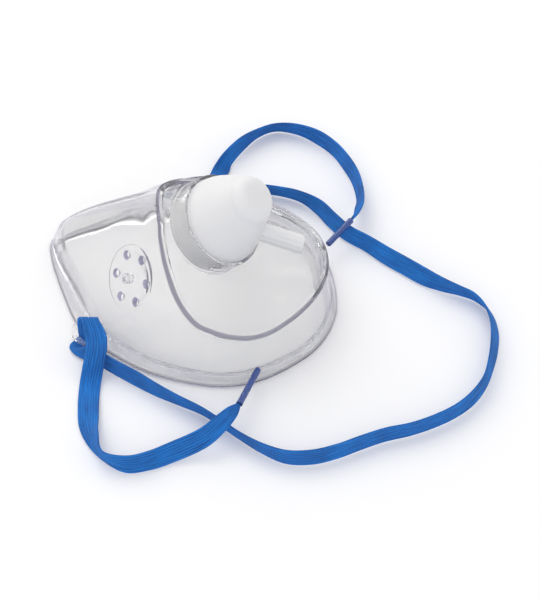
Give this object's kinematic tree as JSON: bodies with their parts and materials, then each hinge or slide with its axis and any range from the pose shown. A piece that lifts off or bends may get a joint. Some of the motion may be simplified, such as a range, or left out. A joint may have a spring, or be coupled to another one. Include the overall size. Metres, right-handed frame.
{
  "type": "oxygen face mask",
  "caption": "Clear soft oxygen mask for nose and mouth with vented cheeks, a white swivelling tube connector and a blue elastic head strap threaded through side tabs.",
  "frame": {"origin": "centre of the mask's rim on the surface it lies on, face side down", "axes": "+Y towards the nose end, -Y towards the chin, +Z away from the wearer's face"},
  "size_m": [0.179, 0.1729, 0.0626],
  "materials": {
    "clear_pvc": "clear, soft gloss",
    "white_plastic": "satin, slightly translucent",
    "blue_elastic": "woven rib",
    "blue_plastic": "gloss"
  },
  "bodies": {
    "mask": {"mask_shell": "clear_pvc", "head_strap": "blue_elastic", "strap_tip_near": "blue_plastic", "strap_tip_far": "blue_plastic"},
    "connector": {"swivel_connector": "white_plastic"}
  },
  "joints": [
    {"name": "turret_swivel", "type": "hinge", "parent": "mask", "child": "connector", "pos_m": [0, -0.0084, 0.0343], "axis": [0, -0.7071, 0.7071], "continuous": true}
  ]
}
